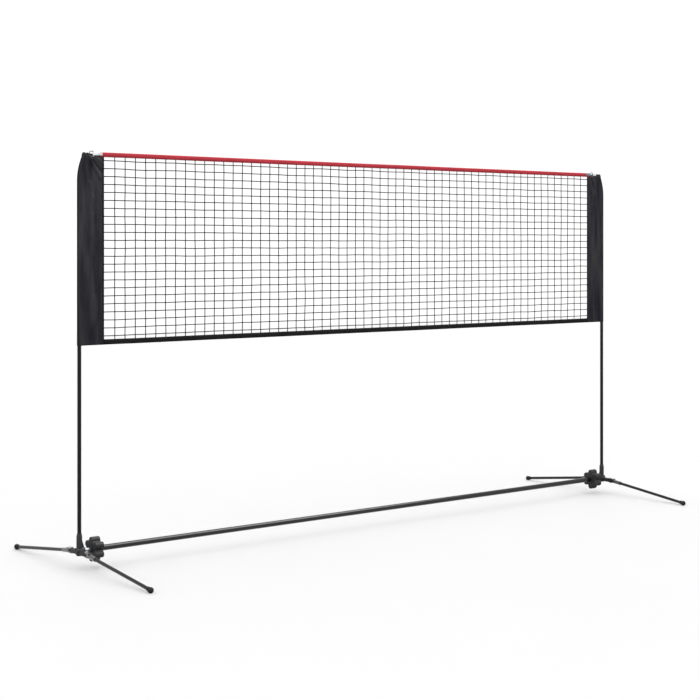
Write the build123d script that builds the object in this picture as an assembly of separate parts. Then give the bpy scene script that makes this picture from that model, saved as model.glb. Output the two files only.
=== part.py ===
from build123d import *
import os
from math import atan2, cos, degrees, hypot, radians, sin

# Portable badminton net: two telescoping posts on folding feet, a crossbar on the floor
# between them, and a net with side sleeves hung from the posts.
# Frame: X along the net, Y across it (-Y is the front), Z up. The origin is on the floor,
# midway between the posts. Every length is in millimetres. Each side is drawn once, with its
# post on the Z axis and +X pointing inboard, then placed on the left and mirrored to the right.

# ---- overall sizes ----
post_spacing = 2880.0        # post axis to post axis
tape_top_z = 1555.0          # top edge of the net
net_depth = 723.0            # top edge of the net to its bottom edge
height_travel = 580.0        # how far the net comes down
foot_reach = 500.0           # post axis to the middle of a foot ball, along Y

# ---- tubes ----
lower_post_r = 7.5
lower_post_wall = 0.9
bush_wall = 0.75             # between the upper post and the lower post's bore
upper_post_wall = 0.9
bar_r = 11.0
bar_wall = 1.2
spigot_r = 8.0
spigot_wall = 1.5
foot_tube_r = 6.5
foot_tube_wall = 1.2

# ---- clearances ----
running_gap = 0.06           # radial gap of a turning or sliding fit
seat_gap = 0.04              # radial gap of a seated joint inside one body
free_gap = 0.6               # between parts that pass and never touch
face_gap = 0.3               # between flat faces that slide past each other

# ---- end bracket and crossbar ----
bar_axis_z = 70.0
arm_z = 64.0                 # height of the foot pivots' middle
arm_r = 9.6
bracket_foot = 12.0          # bracket's underside below the pivots' middle
socket_wall = 3.2
socket_top_z = 135.0
socket_taper = 11.0
socket_lip = 0.9             # wall left at the socket's mouth
post_seat_z = 85.0           # where the lower post's foot stands in the bracket
boss_wall = 4.5
boss_back = 14.0
boss_front = 20.0
spigot_start = -8.0
spigot_end = 130.0
gusset_thickness = 6.0
gusset_foot_x = 19.0
gusset_step = 1.0            # gusset's outer corner above the boss
gusset_top_z = 108.0

# ---- star knob ----
knob_r = 46.0
knob_thickness = 36.0
knob_middle_x = 65.0
knob_lobes = 6
knob_lobe_r = 13.0
knob_valley_r = 6.0
knob_fillet = 2.5
knob_boss_wall = 4.0
knob_boss_height = 3.0
insert_wall = 2.0
washer_thickness = 2.0
washer_margin = 1.0          # washer's edge beyond the insert's
bar_end_offset = 5.0         # knob's middle to the end of the crossbar
collet_flange = 20.0
collet_tail = 22.0

# ---- folding feet ----
fold_clearance = 2.4         # between a folded foot and the star knob
ear_clearance = 1.5          # between the bracket's round arm and the fork's ears
foot_socket_r = 8.6
foot_socket_end = 64.0       # along the foot, from its pivot
foot_tube_start = 22.0
tongue_thickness = 9.0
ear_thickness = 4.6
fork_root_gap = 1.2          # between the tongue's end and the fork's root
fork_root = 14.0
socket_overlap = 4.0         # how far the round socket starts inside the fork's root
pivot_pin_r = 3.0
pin_head_r = 5.0
pin_head_height = 2.2
ball_r = 11.0
ball_flat = 1.0              # depth of the flat the ball stands on
ball_collar = 6.0
ball_collar_wall = 1.8
tube_end_gap = 2.0           # foot tube's end to the ball's middle

# ---- crossbar joints ----
joiner_wall = 1.2
joiner_length = 160.0
bar_button_r = 3.0
bar_button_offset = 42.0     # from the joint to the button
bar_button_proud = 0.6
bar_spring_width = 6.0

# ---- height lock ----
post_overlap = 120.0         # upper post below the lower post's mouth
bush_length = 14.0
bush_flange = 2.0
button_below_mouth = 24.0
height_button_r = 2.5
button_hole_gap = 0.3
height_button_proud = 0.1
height_spring_width = 4.0
button_fillet = 0.35
spring_margin = 0.25         # between a spring's edges and its bore
spring_thickness = 0.5
spring_length = 40.0
guide_length = 16.0
guide_foot = 4.0
sleeve_cover = 30.0          # lower post's mouth above the sleeve's bottom edge

# ---- upper post's bent top and its cap ----
bend_radius = 220.0
bend_angle = 20.0
bend_clear = 3.0             # above the lower post's mouth at the lowest setting
tip_below_tape_top = 9.0
cap_wall = 1.8
cap_skirt = 14.0
cap_crown = 5.0
cap_fillet = 2.5

# ---- net ----
sleeve_inset = 105.0         # post axis to the sleeve's inner edge
sleeve_wall = 0.8
band_thickness = 2.4
sleeve_top_drop = 20.0       # sleeve's top edge below the net's top edge
tape_height = 18.0
hem_height = 20.0
tape_thickness = 5.4
tape_wall = 0.9
tape_fold_share = 0.8        # rounding of the fold, as a share of half the thickness
tape_overhang = 16.0         # top tape's end beyond the sleeve's inner edge
rope_r = 1.6
rope_gap = 0.1               # between a rope and the tape or cords beside it
cord_r = 0.8
cord_offset = 0.85           # the two sets of cords lie this far each side of the net's middle
columns = 58
rows = 23
row_edge_gap = 12.0

# ---- top corners ----
ring_inset_left = 52.0       # post axis to the ring's centre
ring_inset_right = 74.0
ring_r = 10.0
ring_wire_r = 1.7
ring_drop = 7.0              # ring's centre below the net's top edge
strap_height = 11.0
strap_ply = 1.2
strap_reach = 44.0           # ring's centre to the strap's end, over the end of the tape
strap_gap = 0.05             # between the strap and the tape it is sewn over
strap_wire_gap = 0.3         # between the strap's fold and the ring's wire
loop_cord_r = 1.2
loop_half_width = 3.2        # middle of the loop to the middle of its cord
loop_wire_gap = 0.6          # between the loop's end and the ring's wire
loop_pull = 0.25             # loop's cord off the middle of the lug's hole
lug_thickness = 3.4
lug_r = 4.0
lug_root_rise = 2.0          # top of the lug's root above its hole
lug_hole_r = 2.0
lug_reach = 4.0              # cap's side to the middle of the lug's hole

# ---- worked out from the sizes above ----
pivot_y = knob_r + foot_socket_r + fold_clearance
ball_z = ball_r - ball_flat
foot_slope = degrees(atan2(arm_z - ball_z, foot_reach - pivot_y))
foot_length = hypot(arm_z - ball_z, foot_reach - pivot_y)
hem_bottom_z = tape_top_z - net_depth
post_mouth_z = hem_bottom_z + sleeve_cover
lower_bore_r = lower_post_r - lower_post_wall
upper_post_r = lower_bore_r - bush_wall
upper_bore_r = upper_post_r - upper_post_wall
upper_bottom_z = post_mouth_z - post_overlap
button_z = post_mouth_z - button_below_mouth
bend_z = post_mouth_z + height_travel + bend_clear
tip_z = tape_top_z - tip_below_tape_top
sleeve_top_z = tape_top_z - sleeve_top_drop
ring_z = tape_top_z - ring_drop
socket_r = lower_post_r + seat_gap + socket_wall
boss_r = spigot_r + boss_wall
bar_bore_r = bar_r - bar_wall
collet_r = bar_r
insert_r = collet_r + running_gap + insert_wall
knob_start = knob_middle_x - knob_thickness / 2 - knob_boss_height
knob_end = knob_middle_x + knob_thickness / 2 + knob_boss_height
bar_start = knob_middle_x + bar_end_offset
bar_half = post_spacing / 2 - bar_start
bar_joint_x = bar_half / 3
joiner_r = bar_bore_r - seat_gap
joiner_bore_r = joiner_r - joiner_wall
panel_half = post_spacing / 2 - sleeve_inset
cap_r = upper_post_r + seat_gap + cap_wall


def bar_between(start, end, radius):
    """A round bar from one point to another."""
    start, end = Vector(start), Vector(end)
    axis = end - start
    place = Plane(origin=start, z_dir=axis.normalized())
    return place * Cylinder(radius, axis.length, align=(Align.CENTER, Align.CENTER, Align.MIN))


def tube_between(start, end, radius, bore):
    """A round tube from one point to another."""
    start, end = Vector(start), Vector(end)
    over = (end - start).normalized()
    return bar_between(start, end, radius) - bar_between(start - over, end + over, bore)


def slab(x, y, z):
    """A box from its lowest to its highest value along each axis."""
    size = (x[1] - x[0], y[1] - y[0], z[1] - z[0])
    middle = ((x[0] + x[1]) / 2, (y[0] + y[1]) / 2, (z[0] + z[1]) / 2)
    return Pos(*middle) * Box(*size)


# ---------------------------------------------------------------- end bracket
def end_bracket():
    """Cast bracket that joins the post, the crossbar's spigot and two foot pivots."""
    taper_z = socket_top_z - socket_taper
    mouth_r = lower_post_r + seat_gap + socket_lip
    body = bar_between((0, 0, arm_z - bracket_foot), (0, 0, taper_z), socket_r)
    body += Pos(0, 0, taper_z + socket_taper / 2) * Cone(socket_r, mouth_r, socket_taper)
    body += bar_between((-boss_back, 0, bar_axis_z), (boss_front, 0, bar_axis_z), boss_r)
    arm_end = pivot_y - foot_socket_r - ear_clearance
    body += bar_between((0, -arm_end, arm_z), (0, arm_end, arm_z), arm_r)
    gusset = Polyline(
        (0, bar_axis_z),
        (gusset_foot_x, bar_axis_z),
        (gusset_foot_x, bar_axis_z + boss_r + gusset_step),
        (socket_r, gusset_top_z),
        (0, gusset_top_z),
        close=True,
    )
    body += extrude(Plane.XZ * make_face(gusset), gusset_thickness / 2, both=True)
    tongue = slab(
        (-foot_socket_r, foot_socket_r),
        (-pivot_y, pivot_y),
        (arm_z - tongue_thickness / 2, arm_z + tongue_thickness / 2),
    )
    body += tongue
    for side in (-1, 1):
        pivot = (0, side * pivot_y)
        body += bar_between(
            (*pivot, arm_z - tongue_thickness / 2),
            (*pivot, arm_z + tongue_thickness / 2),
            foot_socket_r,
        )
    for side in (-1, 1):
        pivot = (0, side * pivot_y)
        body -= bar_between((*pivot, 0), (*pivot, socket_top_z), pivot_pin_r + seat_gap)
    body -= bar_between((0, 0, post_seat_z), (0, 0, socket_top_z + 1), lower_post_r + seat_gap)
    body -= bar_between(
        (spigot_start, 0, bar_axis_z), (boss_front + 1, 0, bar_axis_z), spigot_r + seat_gap
    )
    return body


def spigot_tube():
    """Bright stub tube that the crossbar slides onto."""
    start, end = (spigot_start, 0, bar_axis_z), (spigot_end, 0, bar_axis_z)
    return tube_between(start, end, spigot_r, spigot_r - spigot_wall)


def pivot_pin(side):
    """Headed pin of one foot pivot, with a riveted foot."""
    half = tongue_thickness / 2 + face_gap + ear_thickness + face_gap
    pin = bar_between((0, side * pivot_y, arm_z - half), (0, side * pivot_y, arm_z + half), pivot_pin_r)
    for end in (-1, 1):
        low = arm_z + end * half
        pin += bar_between(
            (0, side * pivot_y, low), (0, side * pivot_y, low + end * pin_head_height), pin_head_r
        )
    return pin


# ---------------------------------------------------------------- star knob
def star_outline():
    """Outline of the star: round lobes joined by round valleys that run into them smoothly."""
    step = 360 / knob_lobes
    lobe_at = knob_r - knob_lobe_r
    reach = knob_lobe_r + knob_valley_r
    along = lobe_at * cos(radians(step / 2))
    valley_at = along + (reach**2 - (lobe_at * sin(radians(step / 2))) ** 2) ** 0.5

    def at(radius, angle):
        return Vector(radius * cos(radians(angle)), radius * sin(radians(angle)))

    outline = []
    for k in range(knob_lobes):
        angle = k * step
        lobe = at(lobe_at, angle)
        before, after = at(valley_at, angle - step / 2), at(valley_at, angle + step / 2)
        first = lobe + (before - lobe) * (knob_lobe_r / reach)
        last = lobe + (after - lobe) * (knob_lobe_r / reach)
        following = at(lobe_at, angle + step)
        next_first = following + (after - following) * (knob_lobe_r / reach)
        outline.append(ThreePointArc(first, at(knob_r, angle), last))
        outline.append(ThreePointArc(last, at(valley_at - knob_valley_r, angle + step / 2), next_first))
    return make_face(Wire(outline))


def star_knob():
    """Six-lobed hand nut whose axis lies along the crossbar."""
    disc = extrude(star_outline(), knob_thickness / 2, both=True)
    faces = disc.faces().sort_by(Axis.Z)
    disc = fillet(faces[0].edges() + faces[-1].edges(), knob_fillet)
    disc += Cylinder(insert_r + knob_boss_wall, knob_thickness + 2 * knob_boss_height)
    disc -= Cylinder(insert_r, knob_thickness + 4 * knob_boss_height)
    return Pos(knob_middle_x, 0, bar_axis_z) * Rot(0, 90, 0) * disc


def knob_insert():
    """Lining ring of the knob, which runs on the collet and the bar's end."""
    start, end = (knob_start, 0, bar_axis_z), (knob_end, 0, bar_axis_z)
    return tube_between(start, end, insert_r - seat_gap, collet_r + running_gap)


def knob_washer():
    """Plain washer on the spigot, between the bracket and the knob."""
    end = (knob_start - face_gap, 0, bar_axis_z)
    start = (knob_start - face_gap - washer_thickness, 0, bar_axis_z)
    return tube_between(start, end, insert_r + washer_margin, spigot_r + seat_gap)


def bar_collet():
    """Collet on the spigot, with its tail inside the crossbar's end."""
    flange_start = (bar_start - collet_flange, 0, bar_axis_z)
    step = (bar_start, 0, bar_axis_z)
    tail_end = (bar_start + collet_tail, 0, bar_axis_z)
    collet = bar_between(flange_start, step, collet_r)
    collet += bar_between(step, tail_end, bar_bore_r - seat_gap)
    return collet - bar_between(
        (bar_start - collet_flange - 1, 0, bar_axis_z),
        (bar_start + collet_tail + 1, 0, bar_axis_z),
        spigot_r + seat_gap,
    )


# ---------------------------------------------------------------- folding feet
def along_foot(side, distance):
    """Point on a foot's centre line, this far from its pivot."""
    slope = radians(foot_slope)
    return (0, side * (pivot_y + distance * cos(slope)), arm_z - distance * sin(slope))


def foot_hinge(side):
    """Fork on the bracket's tongue, with the sloping socket of the foot tube."""
    ear_low = tongue_thickness / 2 + face_gap
    ear_high = ear_low + ear_thickness
    root_start = foot_socket_r + fork_root_gap
    fork_end = root_start + fork_root
    fork = slab(
        (-foot_socket_r, foot_socket_r),
        (pivot_y, pivot_y + fork_end),
        (arm_z - ear_high, arm_z + ear_high),
    )
    fork += bar_between((0, pivot_y, arm_z - ear_high), (0, pivot_y, arm_z + ear_high), foot_socket_r)
    fork -= slab(
        (-2 * foot_socket_r, 2 * foot_socket_r),
        (pivot_y - 2 * foot_socket_r, pivot_y + root_start),
        (arm_z - ear_low, arm_z + ear_low),
    )
    socket_start = along_foot(1, fork_end - socket_overlap)
    fork += bar_between(socket_start, along_foot(1, foot_socket_end), foot_socket_r)
    fork -= bar_between(
        (0, pivot_y, arm_z - 2 * ear_high),
        (0, pivot_y, arm_z + 2 * ear_high),
        pivot_pin_r + running_gap,
    )
    fork -= bar_between(
        along_foot(1, foot_tube_start), along_foot(1, foot_socket_end + 1), foot_tube_r + seat_gap
    )
    return fork if side > 0 else mirror(fork, about=Plane.XZ)


def foot_tube(side):
    """Sloping foot tube, from its socket into the ball."""
    start = along_foot(side, foot_tube_start)
    end = along_foot(side, foot_length - tube_end_gap)
    return tube_between(start, end, foot_tube_r, foot_tube_r - foot_tube_wall)


def foot_ball(side):
    """Rubber ball on the foot's end, flattened where it stands."""
    centre = along_foot(side, foot_length)
    ball = Pos(*centre) * Sphere(ball_r)
    collar_start = along_foot(side, foot_length - ball_r - ball_collar)
    ball += bar_between(collar_start, centre, foot_tube_r + ball_collar_wall)
    ball -= slab((-ball_r, ball_r), (centre[1] - ball_r, centre[1] + ball_r), (-ball_r, 0))
    bore_end = along_foot(side, foot_length - tube_end_gap)
    bore_start = along_foot(side, foot_length - 2 * ball_r)
    return ball - bar_between(bore_start, bore_end, foot_tube_r + seat_gap)


# ---------------------------------------------------------------- crossbar
def bar_section(start, end):
    """One length of the crossbar."""
    return tube_between((start, 0, bar_axis_z), (end, 0, bar_axis_z), bar_r, bar_bore_r)


def bar_button_hole(side):
    """Hole at the rear for the button of one crossbar joint."""
    x = side * (bar_joint_x + bar_button_offset)
    return bar_between((x, 0, bar_axis_z), (x, 2 * bar_r, bar_axis_z), bar_button_r + button_hole_gap)


def bar_joiner(side):
    """Inner tube that joins two lengths of the crossbar."""
    middle = side * bar_joint_x
    start = (middle - joiner_length / 2, 0, bar_axis_z)
    end = (middle + joiner_length / 2, 0, bar_axis_z)
    return tube_between(start, end, joiner_r, joiner_bore_r) - bar_button_hole(side)


def leaf_y(bore_r, width):
    """Outer face of a spring's leg, from the middle of its bore."""
    return ((bore_r - spring_margin) ** 2 - (width / 2) ** 2) ** 0.5


def spring_clip(bore_r, width, button_r):
    """Spring strip bent into a U that fits a bore: legs along Z, button side at +Y."""
    outer_y = leaf_y(bore_r, width)
    inner_y = outer_y - spring_thickness
    clip = slab((-width / 2, width / 2), (inner_y, outer_y), (-spring_length, button_r))
    clip += slab((-width / 2, width / 2), (-outer_y, -inner_y), (-spring_length, button_r))
    bend = Pos(0, 0, -spring_length) * Rot(0, 90, 0) * (
        Cylinder(outer_y, width) - Cylinder(inner_y, width)
    )
    bend -= slab((-width, width), (-bore_r, bore_r), (-spring_length, 0))
    return clip + bend


def height_clip():
    """Spring clip in the upper post's bore, its button facing the rear."""
    return Pos(0, 0, button_z) * spring_clip(upper_bore_r, height_spring_width, height_button_r)


def height_button():
    """Height-lock button, through both post walls at the rear."""
    start = (0, leaf_y(upper_bore_r, height_spring_width), button_z)
    end = (0, lower_post_r + height_button_proud, button_z)
    button = bar_between(start, end, height_button_r)
    return fillet(button.faces().sort_by(Axis.Y)[-1].edges(), button_fillet)


def bar_clip(side):
    """Spring clip in a crossbar joiner, its button facing the rear."""
    clip = spring_clip(joiner_bore_r, bar_spring_width, bar_button_r)
    middle = side * (bar_joint_x + bar_button_offset)
    return Pos(middle, 0, bar_axis_z) * Rot(0, side * 90, 0) * clip


def bar_button(side):
    """Lock button of one crossbar joint."""
    x = side * (bar_joint_x + bar_button_offset)
    start = (x, leaf_y(joiner_bore_r, bar_spring_width), bar_axis_z)
    end = (x, bar_r + bar_button_proud, bar_axis_z)
    button = bar_between(start, end, bar_button_r)
    return fillet(button.faces().sort_by(Axis.Y)[-1].edges(), button_fillet)


# ---------------------------------------------------------------- posts
def lower_post():
    """Lower post tube, with a button hole at each height setting."""
    post = tube_between((0, 0, post_seat_z), (0, 0, post_mouth_z), lower_post_r, lower_bore_r)
    for drop in (0, height_travel / 2, height_travel):
        z = button_z - drop
        post -= bar_between((0, 0, z), (0, 2 * lower_post_r, z), height_button_r + button_hole_gap)
    return post


def post_bush():
    """Bush in the lower post's mouth, which guides the upper post."""
    bore = upper_post_r + running_gap
    mouth = (0, 0, post_mouth_z)
    bush = bar_between((0, 0, post_mouth_z - bush_length), mouth, lower_bore_r - seat_gap)
    bush += bar_between(mouth, (0, 0, post_mouth_z + bush_flange), lower_post_r)
    return bush - bar_between((0, 0, 0), (0, 0, tape_top_z), bore)


def post_line(start_z, end_z):
    """Centre line of the upper post: straight, then bent inboard near its top."""
    lean = radians(bend_angle)
    arc_x, arc_z = bend_radius * (1 - cos(lean)), bend_z + bend_radius * sin(lean)
    straight = (end_z - arc_z) / cos(lean)
    start = Line((0, 0, start_z), (0, 0, bend_z))
    arc = ThreePointArc(
        (0, 0, bend_z),
        (bend_radius * (1 - cos(lean / 2)), 0, bend_z + bend_radius * sin(lean / 2)),
        (arc_x, 0, arc_z),
    )
    end = Line((arc_x, 0, arc_z), (arc_x + straight * sin(lean), 0, end_z))
    return start + arc + end


def along_post(start_z, end_z, radius):
    """A round bar that follows the upper post's centre line."""
    section = Plane((0, 0, start_z), z_dir=(0, 0, 1)) * Circle(radius)
    return sweep(section, path=post_line(start_z, end_z))


def upper_post():
    """Upper post tube, which slides in the lower one."""
    post = along_post(upper_bottom_z, tip_z, upper_post_r)
    post -= along_post(upper_bottom_z - 1, tip_z + 1, upper_bore_r)
    return post - bar_between(
        (0, 0, button_z), (0, 2 * lower_post_r, button_z), height_button_r + button_hole_gap
    )


def post_guide():
    """Plug on the upper post's foot, which slides in the lower post."""
    foot = (0, 0, upper_bottom_z)
    guide = bar_between((0, 0, upper_bottom_z - guide_foot), foot, lower_bore_r - running_gap)
    return guide + bar_between(foot, (0, 0, upper_bottom_z + guide_length), upper_bore_r - seat_gap)


def tip_point(distance):
    """Point this far beyond the upper post's tip, along its leaning end."""
    lean = radians(bend_angle)
    arc_z = bend_z + bend_radius * sin(lean)
    tip_x = bend_radius * (1 - cos(lean)) + (tip_z - arc_z) / cos(lean) * sin(lean)
    return Vector(tip_x + distance * sin(lean), 0, tip_z + distance * cos(lean))


def lug_x():
    """Middle of the hole in the cap's lug."""
    return tip_point(0).X + cap_r + lug_reach


def post_cap():
    """Cap on the post's tip, with a lug for the corner loop."""
    crown = bar_between(tip_point(-cap_skirt), tip_point(cap_crown), cap_r)
    crown = fillet(crown.edges().filter_by(GeomType.CIRCLE).sort_by(Axis.Z)[-1], cap_fillet)
    half = lug_thickness / 2
    lug = slab((tip_point(0).X, lug_x()), (-half, half), (ring_z - lug_r, ring_z + lug_root_rise))
    lug += bar_between((lug_x(), -half, ring_z), (lug_x(), half, ring_z), lug_r)
    lug -= bar_between((lug_x(), -lug_r, ring_z), (lug_x(), lug_r, ring_z), lug_hole_r)
    return crown + lug - bar_between(tip_point(-cap_skirt - 1), tip_point(0), upper_post_r + seat_gap)


# ---------------------------------------------------------------- net
def sleeve():
    """Side sleeve of the net: a pocket round the post and a flat band inboard of it."""
    pocket_bore = lower_post_r + free_gap
    lean = radians(bend_angle)
    sleeve_end = along_sleeve_top(lean)
    pocket = along_post(hem_bottom_z, sleeve_top_z, pocket_bore + sleeve_wall)
    outline = Polyline(
        (0, hem_bottom_z),
        (sleeve_inset, hem_bottom_z),
        (sleeve_inset, sleeve_top_z),
        (sleeve_end, sleeve_top_z),
        (bend_radius * (1 - cos(lean)), bend_z + bend_radius * sin(lean)),
        (bend_radius * (1 - cos(lean / 2)), bend_z + bend_radius * sin(lean / 2)),
        (0, bend_z),
        close=True,
    )
    band = extrude(Plane.XZ * make_face(outline), band_thickness / 2, both=True)
    return pocket + band - along_post(hem_bottom_z - 1, tip_z + 20, pocket_bore)


def along_sleeve_top(lean):
    """Where the post's centre line crosses the sleeve's top edge."""
    arc_z = bend_z + bend_radius * sin(lean)
    return bend_radius * (1 - cos(lean)) + (sleeve_top_z - arc_z) * sin(lean) / cos(lean)


def folded_tape(end_x, low_z, high_z, fold_at_top):
    """Tape folded over the net's edge, with its open side towards the mesh."""
    half, slot = tape_thickness / 2, tape_thickness / 2 - tape_wall
    tape = slab((-end_x, end_x), (-half, half), (low_z, high_z))
    fold_edges = tape.edges().filter_by(Axis.X).sort_by(Axis.Z)
    tape = fillet(fold_edges[-2:] if fold_at_top else fold_edges[:2], half * tape_fold_share)
    inside = (low_z - 1, high_z - tape_wall) if fold_at_top else (low_z + tape_wall, high_z + 1)
    return tape - slab((-end_x - 1, end_x + 1), (-slot, slot), inside)


def edge_rope(end_x, z):
    """Rope inside a folded tape."""
    return bar_between((-end_x, 0, z), (end_x, 0, z), rope_r)


def vertical_cords():
    """Upright cords of the mesh, from the bottom rope to the top rope."""
    edge = tape_wall + 2 * rope_r + 2 * rope_gap
    low, high = hem_bottom_z + edge, tape_top_z - edge
    pitch = 2 * panel_half / (columns + 1)
    xs = [-panel_half + pitch * (k + 1) for k in range(columns)]
    return Compound([bar_between((x, -cord_offset, low), (x, -cord_offset, high), cord_r) for x in xs])


def horizontal_cords():
    """Level cords of the mesh, from sleeve to sleeve."""
    top = tape_top_z - tape_height - row_edge_gap
    bottom = hem_bottom_z + hem_height + row_edge_gap
    pitch = (top - bottom) / (rows - 1)
    zs = [top - pitch * k for k in range(rows)]
    return Compound(
        [bar_between((-panel_half, cord_offset, z), (panel_half, cord_offset, z), cord_r) for z in zs]
    )


def corner_ring(inset):
    """Wire ring at the net's top corner, standing in the net's plane."""
    return Pos(inset, 0, ring_z) * Rot(90, 0, 0) * Torus(ring_r, ring_wire_r)


def corner_loop(inset):
    """Closed cord loop through the cap's lug and the ring, lying level."""
    start_x = lug_x() - loop_pull
    end_x = inset - (ring_r - ring_wire_r) + loop_cord_r + loop_wire_gap
    w = loop_half_width
    first, last = start_x + w, end_x - w
    path = Wire(
        [
            Line((first, -w, ring_z), (last, -w, ring_z)),
            ThreePointArc((last, -w, ring_z), (end_x, 0, ring_z), (last, w, ring_z)),
            Line((last, w, ring_z), (first, w, ring_z)),
            ThreePointArc((first, w, ring_z), (start_x, 0, ring_z), (first, -w, ring_z)),
        ]
    )
    section = Plane((first, -w, ring_z), z_dir=(1, 0, 0)) * Circle(loop_cord_r)
    return sweep(section, path=path)


def corner_strap(inset):
    """Webbing folded through the ring, its ends sewn over the tape's end."""
    inner = tape_thickness / 2 + strap_gap
    outer = inner + strap_ply
    half_height = strap_height / 2
    wire_x = ((ring_r - ring_wire_r) ** 2 - half_height**2) ** 0.5
    fold_x = inset + wire_x - strap_wire_gap + inner
    end_x = inset + strap_reach
    low, high = ring_z - half_height, ring_z + half_height
    strap = slab((fold_x, end_x), (-outer, outer), (low, high))
    strap += bar_between((fold_x, 0, low), (fold_x, 0, high), outer)
    strap -= slab((fold_x, end_x + 1), (-inner, inner), (low - 1, high + 1))
    return strap - bar_between((fold_x, 0, low - 1), (fold_x, 0, high + 1), inner)


def write(name, shape):
    """Write one sub-part."""
    export_step(shape, f"parts/{name}.step")


def main():
    os.makedirs("parts", exist_ok=True)
    half = post_spacing / 2

    def left(shape):
        return Pos(-half, 0, 0) * shape

    def right(shape):
        return mirror(left(shape), about=Plane.YZ)

    insets = {"left": ring_inset_left, "right": ring_inset_right}
    for side, place in (("left", left), ("right", right)):
        write(f"{side}_end_bracket", place(end_bracket()))
        write(f"{side}_spigot_tube", place(spigot_tube()))
        write(f"{side}_bar_collet", place(bar_collet()))
        write(f"{side}_star_knob", place(star_knob()))
        write(f"{side}_knob_insert", place(knob_insert()))
        write(f"{side}_lower_post", place(lower_post()))
        write(f"{side}_upper_post", place(upper_post()))
        write(f"{side}_post_cap", place(post_cap()))
        write(f"{side}_height_button", place(height_button()))
        write(f"{side}_sleeve", place(sleeve()))
        write(f"{side}_corner_ring", place(corner_ring(insets[side])))
        write(f"{side}_corner_loop", place(corner_loop(insets[side])))
        write(f"{side}_corner_strap", place(corner_strap(insets[side])))
        for end, way in (("front", -1), ("rear", 1)):
            write(f"{side}_{end}_foot_hinge", place(foot_hinge(way)))
            write(f"{side}_{end}_foot_tube", place(foot_tube(way)))
            write(f"{side}_{end}_foot_ball", place(foot_ball(way)))

    both = (left, right)
    write("foot_pivot_pins", Compound([place(pivot_pin(way)) for place in both for way in (-1, 1)]))
    write("knob_washers", Compound([place(knob_washer()) for place in both]))
    write("post_bushes", Compound([place(post_bush()) for place in both]))
    write("post_guides", Compound([place(post_guide()) for place in both]))
    write("height_button_springs", Compound([place(height_clip()) for place in both]))

    write("left_bar_section", bar_section(-bar_half, -bar_joint_x) - bar_button_hole(-1))
    write("middle_bar_section", bar_section(-bar_joint_x, bar_joint_x))
    write("right_bar_section", bar_section(bar_joint_x, bar_half) - bar_button_hole(1))
    write("bar_joiners", Compound([bar_joiner(side) for side in (-1, 1)]))
    write("bar_button_springs", Compound([bar_clip(side) for side in (-1, 1)]))
    write("left_bar_button", bar_button(-1))
    write("right_bar_button", bar_button(1))

    tape_half = panel_half + tape_overhang
    top_rope = edge_rope(tape_half, tape_top_z - tape_wall - rope_r - rope_gap)
    bottom_rope = edge_rope(panel_half, hem_bottom_z + tape_wall + rope_r + rope_gap)
    write("top_tape", folded_tape(tape_half, tape_top_z - tape_height, tape_top_z, True))
    write("bottom_tape", folded_tape(panel_half, hem_bottom_z, hem_bottom_z + hem_height, False))
    write("edge_ropes", Compound([top_rope, bottom_rope]))
    write("net_upright_cords", vertical_cords())
    write("net_level_cords", horizontal_cords())


main()
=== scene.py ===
import math
import random

import bpy
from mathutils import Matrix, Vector, noise


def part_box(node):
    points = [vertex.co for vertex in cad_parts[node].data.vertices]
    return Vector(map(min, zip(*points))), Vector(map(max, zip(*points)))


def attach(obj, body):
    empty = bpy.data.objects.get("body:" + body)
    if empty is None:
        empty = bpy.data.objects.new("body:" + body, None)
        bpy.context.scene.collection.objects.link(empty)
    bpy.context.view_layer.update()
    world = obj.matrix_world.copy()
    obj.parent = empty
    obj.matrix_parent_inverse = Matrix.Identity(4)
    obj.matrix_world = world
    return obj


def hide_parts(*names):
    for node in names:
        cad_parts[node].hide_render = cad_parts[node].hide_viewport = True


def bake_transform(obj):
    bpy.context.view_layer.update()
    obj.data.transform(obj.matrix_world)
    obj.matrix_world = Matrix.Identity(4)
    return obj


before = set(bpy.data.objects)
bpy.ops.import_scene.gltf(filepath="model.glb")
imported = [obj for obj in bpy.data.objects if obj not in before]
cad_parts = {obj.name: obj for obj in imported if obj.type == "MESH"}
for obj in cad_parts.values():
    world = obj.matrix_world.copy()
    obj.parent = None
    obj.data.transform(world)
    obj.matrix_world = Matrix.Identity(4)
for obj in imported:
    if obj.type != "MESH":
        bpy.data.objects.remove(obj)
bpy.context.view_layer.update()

# Portable badminton net. The CAD frame's hard parts get their finishes here. Sleeves, tapes, mesh,
# straps, ropes and loops are built as cloth and cord, and the buttons' spring clips are copied out as
# pieces of their own, one for each side.
# Lengths are in metres.
MM = 0.001
SIDES = ("left", "right")


# ------------------------------------------------------------------ places taken from the frame
def corners(node):
    """Lowest and highest corners of a CAD node's box."""
    low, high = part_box(node)
    return Vector(low), Vector(high)


def middle(node):
    """Centre of a CAD node's box."""
    return Vector([(a + b) / 2 for a, b in zip(*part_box(node))])


POST_X = abs(middle("left_lower_post").x)
TAPE_LOW = corners("top_tape")[0]
HEM_LOW, HEM_HIGH = corners("bottom_tape")
CORDS_LOW, CORDS_HIGH = corners("net_upright_cords")
ROWS_LOW, ROWS_HIGH = corners("net_level_cords")
SLEEVE_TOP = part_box("left_sleeve")[1][2]
SLEEVE_BOTTOM = HEM_LOW.z
SLEEVE_INSET = POST_X - abs(HEM_LOW.x)       # the sleeve's inner edge


def across(side, inset, y, z):
    """A point given by its distance inboard of a post's axis."""
    x = POST_X - inset
    return Vector((-x if side == "left" else x, y, z))


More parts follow.
